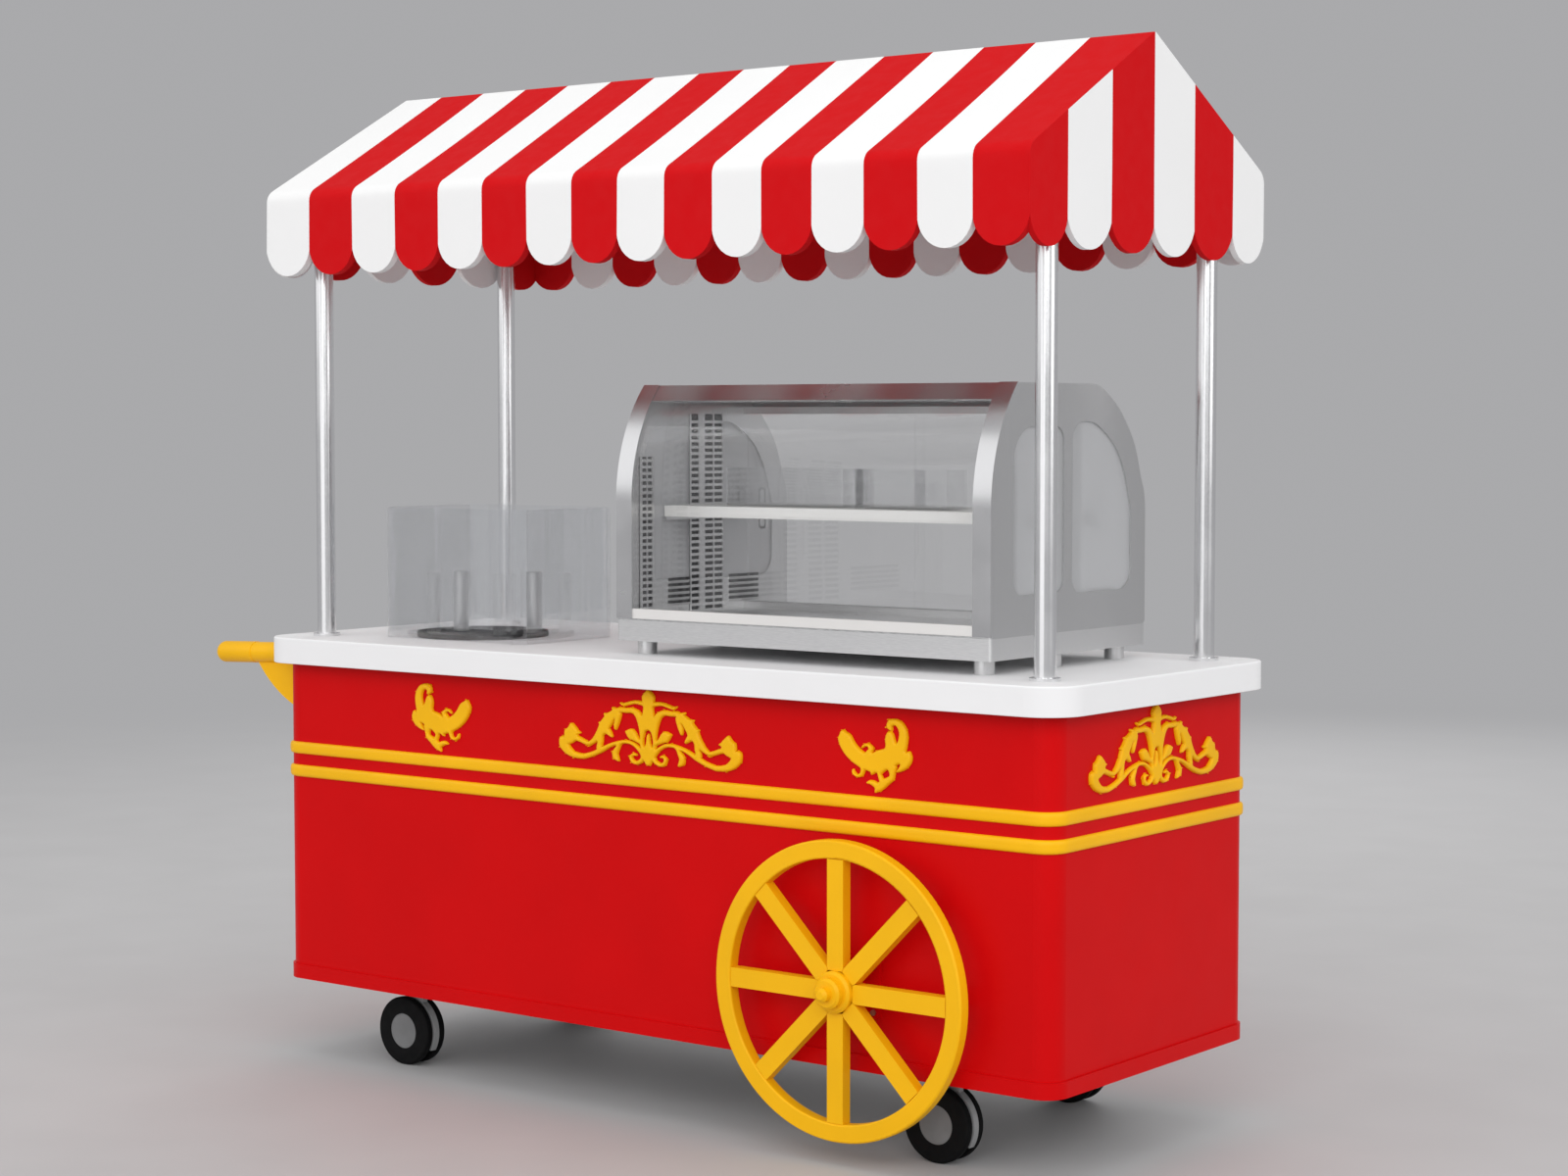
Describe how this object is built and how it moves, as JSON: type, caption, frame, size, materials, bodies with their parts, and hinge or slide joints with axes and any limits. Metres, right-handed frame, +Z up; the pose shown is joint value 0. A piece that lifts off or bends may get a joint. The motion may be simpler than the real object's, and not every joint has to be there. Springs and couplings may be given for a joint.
{
  "type": "coffee cart",
  "caption": "Red and white coffee cart on castors with a striped canopy, a painted cart wheel, a curved-glass display case, a clear guard, back doors and push handles.",
  "frame": {"origin": "on the floor under the middle of the cart's outline, handles and wheel hub included", "axes": "+Z up, +X along the cart away from the push handles, -Y towards the customers' side with the cart wheel"},
  "size_m": [2.3712, 0.937, 2.1808],
  "materials": {
    "red": "gloss red paint",
    "yellow_steel": "gloss yellow paint",
    "yellow_wood": "yellow paint on wood",
    "yellow_relief": "gloss yellow resin",
    "white_top": "gloss white",
    "white_board": "white melamine",
    "board": "plywood",
    "steel": "satin stainless",
    "polished": "polished stainless",
    "chrome": "mirror chrome",
    "frame_steel": "black paint",
    "alu": "satin aluminium",
    "zinc": "zinc plate",
    "castor_grey": "grey nylon",
    "rubber": "black rubber",
    "clear": "clear glass",
    "acrylic": "clear acrylic",
    "cloth": "striped red and white cloth",
    "tray_dark": "dark enamel",
    "switch": "black plastic",
    "lamp": "opal tube"
  },
  "bodies": {
    "cart": {"body_shell": "red", "cabinet_frame": "frame_steel", "canopy": "cloth", "canopy_frame": "alu", "castor_plates": "zinc", "chassis": "frame_steel", "cord_gland": "switch", "countertop": "white_top", "crests": "yellow_relief", "display_base": "steel", "display_cover": "polished", "display_feet": "steel", "display_floor": "steel", "display_glass": "clear", "display_lamp": "lamp", "display_shelf": "white_board", "display_sides": "steel", "display_tracks": "alu", "display_trim": "polished", "floor_panel": "alu", "guard": "acrylic", "handle_back": "yellow_steel", "handle_front": "yellow_steel", "hinge_posts": "zinc", "inner_shelf": "steel", "posts": "chrome", "screws": "zinc", "shelf_dishes": "acrylic", "shelf_standards": "steel", "skirt": "red", "sprays": "yellow_relief", "top_board": "board", "tray": "tray_dark", "trim_strips": "yellow_steel", "tubes": "steel", "wheel_axle": "red"},
    "castor_front_left_fork": {"castor_front_left_hood": "castor_grey"},
    "castor_front_left_wheels": {"castor_front_left_hubs": "castor_grey", "castor_front_left_tyres": "rubber"},
    "castor_front_right_fork": {"castor_front_right_hood": "castor_grey"},
    "castor_front_right_wheels": {"castor_front_right_hubs": "castor_grey", "castor_front_right_tyres": "rubber"},
    "castor_back_left_fork": {"castor_back_left_hood": "castor_grey"},
    "castor_back_left_wheels": {"castor_back_left_hubs": "castor_grey", "castor_back_left_tyres": "rubber"},
    "castor_back_right_fork": {"castor_back_right_hood": "castor_grey"},
    "castor_back_right_wheels": {"castor_back_right_hubs": "castor_grey", "castor_back_right_tyres": "rubber"},
    "cart_wheel": {"wheel_hub": "yellow_wood", "wheel_rim": "yellow_wood", "wheel_spokes": "yellow_wood"},
    "door_l": {"door_fittings_left": "steel", "door_left": "red"},
    "door_r": {"door_fittings_right": "steel", "door_right": "red"},
    "slide_l": {"display_door_left": "clear", "display_grip_left": "alu"},
    "slide_r": {"display_door_right": "clear", "display_grip_right": "alu"},
    "rocker": {"lamp_switch": "switch"}
  },
  "joints": [
    {"name": "castor_front_left_swivel", "type": "hinge", "parent": "cart", "child": "castor_front_left_fork", "pos_m": [-0.5725, -0.2575, 0.164], "axis": [0, 0, 1], "continuous": true},
    {"name": "castor_front_left_roll", "type": "hinge", "parent": "castor_front_left_fork", "child": "castor_front_left_wheels", "pos_m": [-0.5975, -0.2575, 0.076], "axis": [0, 1, 0], "continuous": true},
    {"name": "castor_front_right_swivel", "type": "hinge", "parent": "cart", "child": "castor_front_right_fork", "pos_m": [0.8675, -0.2575, 0.164], "axis": [0, 0, 1], "continuous": true},
    {"name": "castor_front_right_roll", "type": "hinge", "parent": "castor_front_right_fork", "child": "castor_front_right_wheels", "pos_m": [0.8425, -0.2575, 0.076], "axis": [0, 1, 0], "continuous": true},
    {"name": "castor_back_left_swivel", "type": "hinge", "parent": "cart", "child": "castor_back_left_fork", "pos_m": [-0.5725, 0.3265, 0.164], "axis": [0, 0, 1], "continuous": true},
    {"name": "castor_back_left_roll", "type": "hinge", "parent": "castor_back_left_fork", "child": "castor_back_left_wheels", "pos_m": [-0.5975, 0.3265, 0.076], "axis": [0, 1, 0], "continuous": true},
    {"name": "castor_back_right_swivel", "type": "hinge", "parent": "cart", "child": "castor_back_right_fork", "pos_m": [0.7955, 0.3265, 0.164], "axis": [0, 0, 1], "continuous": true},
    {"name": "castor_back_right_roll", "type": "hinge", "parent": "castor_back_right_fork", "child": "castor_back_right_wheels", "pos_m": [0.7705, 0.3265, 0.076], "axis": [0, 1, 0], "continuous": true},
    {"name": "cart_wheel_spin", "type": "hinge", "parent": "cart", "child": "cart_wheel", "pos_m": [0.6985, -0.4205, 0.339], "axis": [0, 1, 0], "continuous": true},
    {"name": "door_left_swing", "type": "hinge", "parent": "cart", "child": "door_l", "pos_m": [-0.8115, 0.3995, 0.55], "axis": [0, 0, 1], "range_deg": [0, 110]},
    {"name": "door_right_swing", "type": "hinge", "parent": "cart", "child": "door_r", "pos_m": [1.0565, 0.3995, 0.55], "axis": [0, 0, -1], "range_deg": [0, 110]},
    {"name": "display_left_slide", "type": "slide", "parent": "cart", "child": "slide_l", "axis": [1, 0, 0], "range_m": [0, 0.43]},
    {"name": "display_right_slide", "type": "slide", "parent": "cart", "child": "slide_r", "axis": [-1, 0, 0], "range_m": [0, 0.43]},
    {"name": "lamp_rocker", "type": "hinge", "parent": "cart", "child": "rocker", "pos_m": [0.8905, 0.2865, 1.0005], "axis": [-1, 0, 0], "range_deg": [0, 16]}
  ]
}
